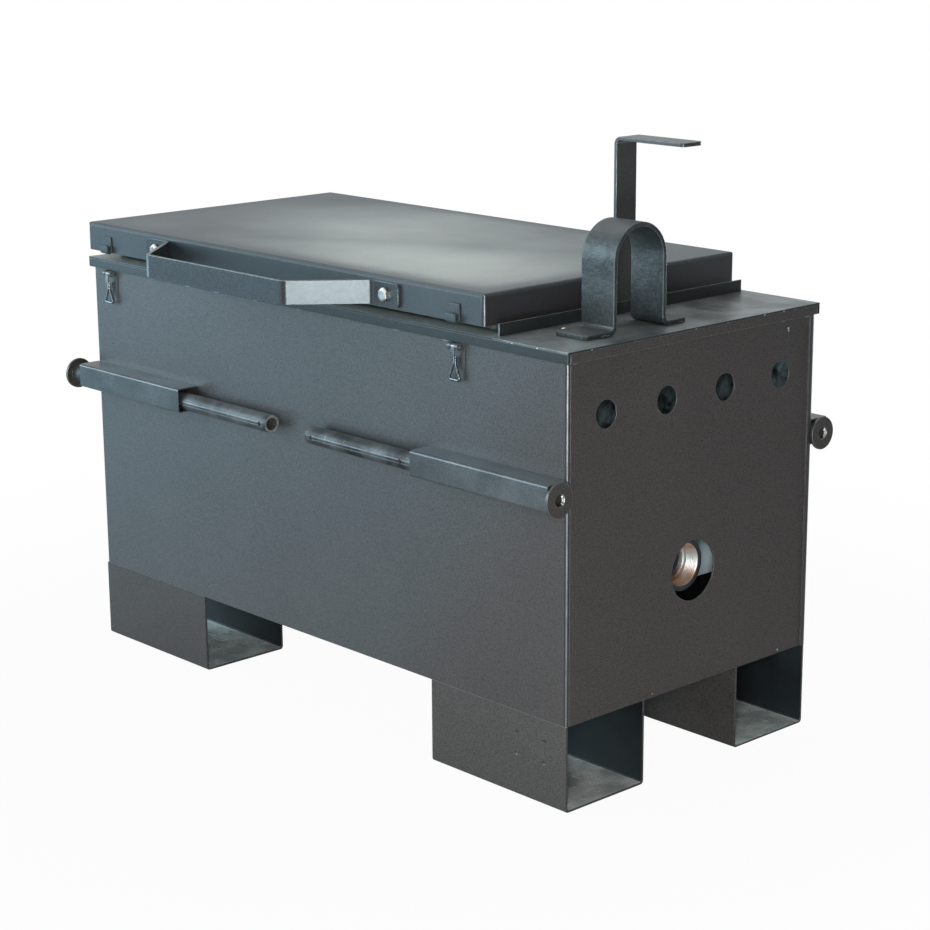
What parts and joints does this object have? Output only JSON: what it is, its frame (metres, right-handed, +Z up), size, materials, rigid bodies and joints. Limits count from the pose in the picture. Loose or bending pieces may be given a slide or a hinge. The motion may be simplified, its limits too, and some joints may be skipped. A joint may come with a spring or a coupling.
{
  "type": "gas forge",
  "caption": "Portable lidded box forge with box feet, burner end with port and cooling holes, slide-out carry rods, wire latches, hose arch and hook.",
  "frame": {"origin": "middle of the footprint of the whole object, on the floor", "axes": "+X along the box towards the burner end, +Y towards the hinges at the rear, +Z up"},
  "size_m": [0.83, 0.4858, 0.659],
  "materials": {
    "body_coat": "satin dark grey powder coat with fine grain",
    "foot_coat": "satin dark brown-grey powder coat, dusty inside",
    "lid_coat": "satin dark grey powder coat, worn at the folds",
    "hinge_coat": "dark grey paint",
    "channel_coat": "dark grey paint",
    "rod_coat": "dark paint rubbed thin in streaks",
    "bar_coat": "dark paint over scaly flat bar",
    "zinc": "zinc plate",
    "bright_wire": "bright wire",
    "socket_steel": "turned steel",
    "galvanised": "galvanised sheet",
    "fibre": "pale fibre board",
    "rope": "woven fibre rope"
  },
  "bodies": {
    "frame": {"front_panel": "body_coat", "rear_panel": "body_coat", "left_end_panel": "body_coat", "right_end_panel": "body_coat", "floor_panel": "body_coat", "bulkhead": "body_coat", "rim_front": "body_coat", "rim_rear": "body_coat", "rim_left": "body_coat", "rim_right": "body_coat", "top_ledge": "body_coat", "end_deck": "body_coat", "foot_front_left": "foot_coat", "foot_front_right": "foot_coat", "foot_rear_left": "foot_coat", "foot_rear_right": "foot_coat", "floor_lining": "fibre", "front_lining": "fibre", "rear_lining": "fibre", "left_lining": "fibre", "right_lining": "fibre", "lid_seal": "rope", "hinge_body_leaves": "hinge_coat", "hinge_pins": "zinc", "latch_base_left": "hinge_coat", "latch_base_right": "hinge_coat", "latch_pins": "zinc", "latch_rivets": "zinc", "channel_front_left": "channel_coat", "channel_front_right": "channel_coat", "channel_rear_left": "channel_coat", "channel_rear_right": "channel_coat", "hose_arch": "bar_coat", "hose_hook": "bar_coat", "burner_socket": "socket_steel", "burner_tube": "socket_steel", "burner_bracket": "galvanised"},
    "lid": {"lid_shell": "lid_coat", "lid_lining": "fibre", "lid_handle": "lid_coat", "handle_bolts": "zinc", "handle_nuts": "zinc", "keeper_left": "lid_coat", "keeper_right": "lid_coat", "hinge_lid_leaves": "hinge_coat"},
    "carry_rod_front_left": {"rod_front_left": "rod_coat", "disc_front_left": "rod_coat"},
    "carry_rod_front_right": {"rod_front_right": "rod_coat", "disc_front_right": "rod_coat"},
    "carry_rod_rear_left": {"rod_rear_left": "rod_coat", "disc_rear_left": "rod_coat"},
    "carry_rod_rear_right": {"rod_rear_right": "rod_coat", "disc_rear_right": "rod_coat"},
    "latch_left": {"latch_tongue_left": "bright_wire", "latch_bail_left": "bright_wire"},
    "latch_right": {"latch_tongue_right": "bright_wire", "latch_bail_right": "bright_wire"}
  },
  "joints": [
    {"name": "lid_hinge", "type": "hinge", "parent": "frame", "child": "lid", "pos_m": [-0.04875, 0.22062, 0.48], "axis": [-1, 0, 0], "range_deg": [0, 95]},
    {"name": "carry_rod_front_left_slide", "type": "slide", "parent": "frame", "child": "carry_rod_front_left", "axis": [-1, 0, 0], "range_m": [-0.02, 0.14]},
    {"name": "carry_rod_front_right_slide", "type": "slide", "parent": "frame", "child": "carry_rod_front_right", "axis": [1, 0, 0], "range_m": [0, 0.16]},
    {"name": "carry_rod_rear_left_slide", "type": "slide", "parent": "frame", "child": "carry_rod_rear_left", "axis": [-1, 0, 0], "range_m": [0, 0.158]},
    {"name": "carry_rod_rear_right_slide", "type": "slide", "parent": "frame", "child": "carry_rod_rear_right", "axis": [1, 0, 0], "range_m": [0, 0.158]},
    {"name": "latch_left_swing", "type": "hinge", "parent": "frame", "child": "latch_left", "pos_m": [-0.35225, -0.16887, 0.459], "axis": [-1, 0, 0], "range_deg": [0, 150]},
    {"name": "latch_right_swing", "type": "hinge", "parent": "frame", "child": "latch_right", "pos_m": [0.25475, -0.16887, 0.459], "axis": [-1, 0, 0], "range_deg": [0, 150]}
  ]
}
